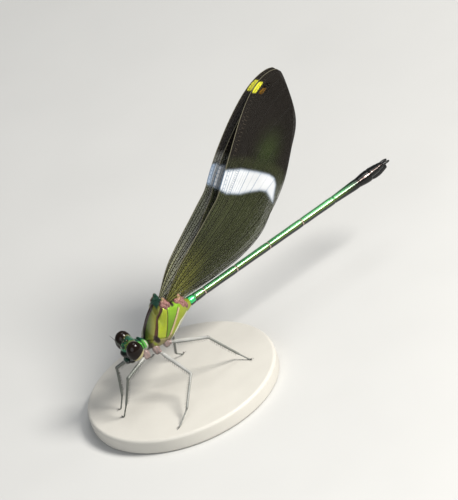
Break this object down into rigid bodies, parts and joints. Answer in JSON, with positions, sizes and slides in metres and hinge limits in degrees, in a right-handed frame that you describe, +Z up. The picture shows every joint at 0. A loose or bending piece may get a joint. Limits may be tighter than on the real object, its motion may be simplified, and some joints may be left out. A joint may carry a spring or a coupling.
{
  "type": "damselfly model",
  "caption": "Life-size still model of a broad-winged damselfly at rest with its wings closed over its back, standing on a plain flat base.",
  "frame": {"origin": "centre of the base's flat underside", "axes": "+Z up, the head faces -Y, the abdomen runs along +Y, the animal's left is +X"},
  "size_m": [0.03, 0.0609, 0.0391],
  "materials": {
    "thorax_skin": "metallic olive green",
    "abdomen_skin": "metallic green",
    "club_skin": "glossy black",
    "head_skin": "metallic green",
    "eye_skin": "glossy near black",
    "mouth_skin": "glossy dark green",
    "leg_skin": "shiny pale grey",
    "wing_skin": "thin dark translucent membrane",
    "base_skin": "matt pale painted wood"
  },
  "bodies": {
    "root": {"abdomen_01": "abdomen_skin", "abdomen_02": "abdomen_skin", "abdomen_03": "abdomen_skin", "abdomen_04": "abdomen_skin", "abdomen_05": "abdomen_skin", "abdomen_06": "abdomen_skin", "abdomen_07": "abdomen_skin", "abdomen_08": "club_skin", "abdomen_09": "club_skin", "abdomen_10": "club_skin", "antenna_left": "leg_skin", "antenna_right": "leg_skin", "cercus_left": "club_skin", "cercus_right": "club_skin", "eye_left": "eye_skin", "eye_right": "eye_skin", "head": "head_skin", "labrum": "mouth_skin", "leg_fore_left": "leg_skin", "leg_fore_right": "leg_skin", "leg_hind_left": "leg_skin", "leg_hind_right": "leg_skin", "leg_mid_left": "leg_skin", "leg_mid_right": "leg_skin", "mouthparts": "mouth_skin", "ovipositor": "club_skin", "prothorax": "head_skin", "stand_base": "base_skin", "thorax": "thorax_skin", "wing_fore_left": "wing_skin", "wing_fore_right": "wing_skin", "wing_hind_left": "wing_skin", "wing_hind_right": "wing_skin"}
  },
  "joints": []
}
